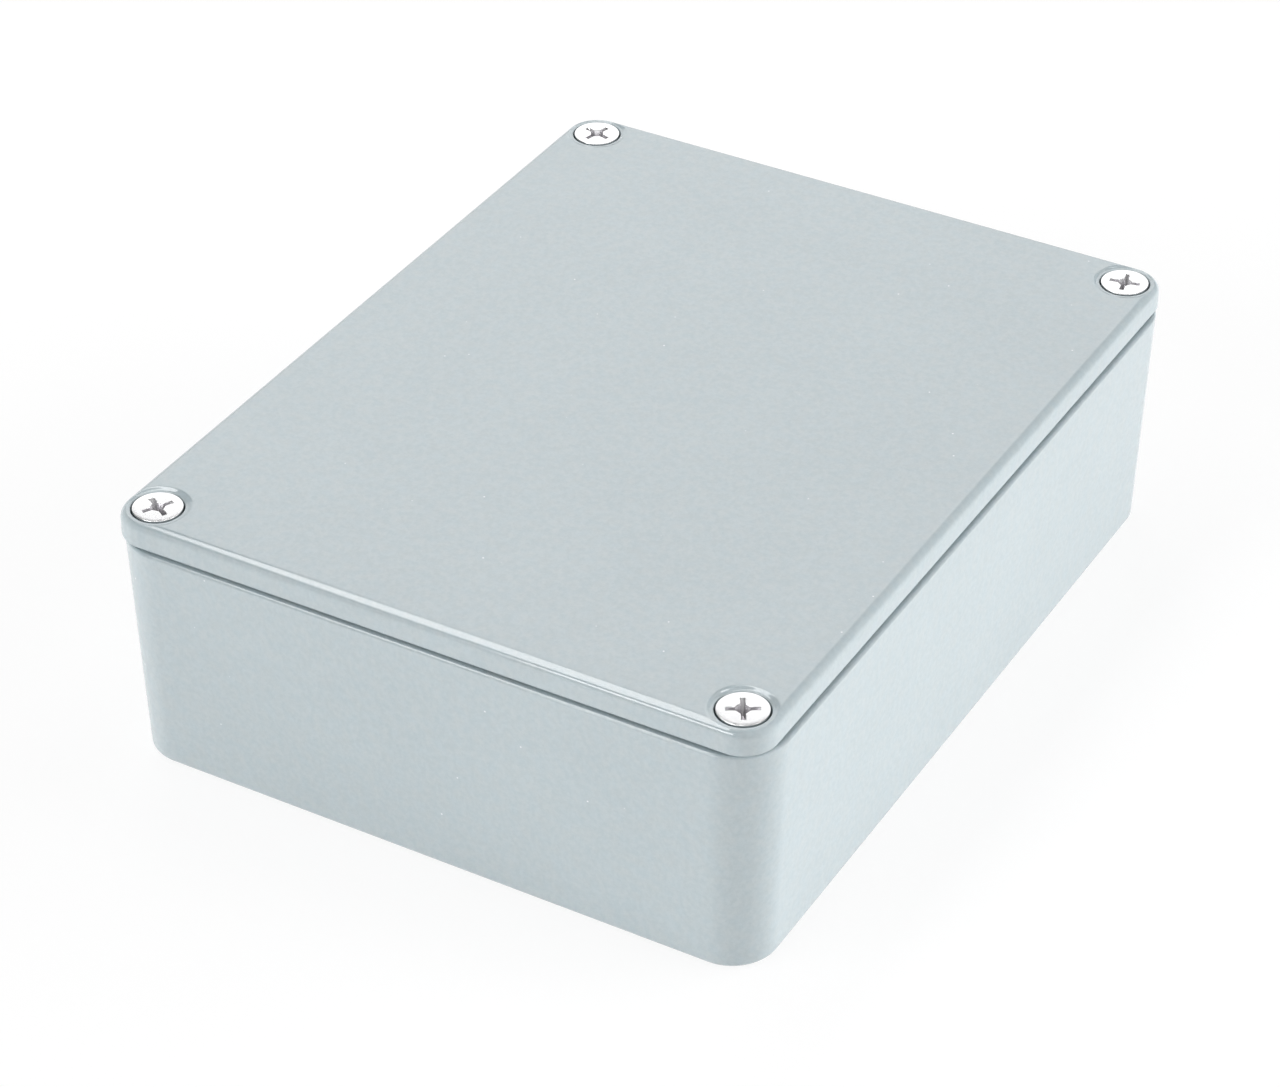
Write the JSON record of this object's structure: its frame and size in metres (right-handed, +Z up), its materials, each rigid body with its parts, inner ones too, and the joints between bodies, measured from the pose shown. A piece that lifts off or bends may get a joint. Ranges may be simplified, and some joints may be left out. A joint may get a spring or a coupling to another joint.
{
  "type": "die cast aluminium box",
  "caption": "Shallow painted die cast aluminium box with a drafted base, a flat gasketed lid and a cross-recess screw in a pocket at each corner.",
  "frame": {"origin": "middle of the flat underside of the base", "axes": "+X across the box, +Y along its length, +Z up out of the lid"},
  "size_m": [0.094, 0.12, 0.0375],
  "materials": {
    "casting_paint": "smooth semi-gloss blue-grey powder coat over die cast aluminium",
    "gasket_rubber": "matt black sealing rubber",
    "screw_steel": "bright zinc plated steel"
  },
  "bodies": {
    "base": {"base": "casting_paint"},
    "lid": {"lid": "casting_paint", "gasket": "gasket_rubber"},
    "screw_front_left": {"lid_screw_front_left": "screw_steel"},
    "screw_front_right": {"lid_screw_front_right": "screw_steel"},
    "screw_back_left": {"lid_screw_back_left": "screw_steel"},
    "screw_back_right": {"lid_screw_back_right": "screw_steel"}
  },
  "joints": [
    {"name": "lid_lift", "type": "slide", "parent": "base", "child": "lid", "axis": [0, 0, 1], "range_m": [0, 0.03]},
    {"name": "screw_front_left_out", "type": "slide", "parent": "lid", "child": "screw_front_left", "axis": [0, 0, 1], "range_m": [0, 0.018]},
    {"name": "screw_front_right_out", "type": "slide", "parent": "lid", "child": "screw_front_right", "axis": [0, 0, 1], "range_m": [0, 0.018]},
    {"name": "screw_back_left_out", "type": "slide", "parent": "lid", "child": "screw_back_left", "axis": [0, 0, 1], "range_m": [0, 0.018]},
    {"name": "screw_back_right_out", "type": "slide", "parent": "lid", "child": "screw_back_right", "axis": [0, 0, 1], "range_m": [0, 0.018]}
  ]
}
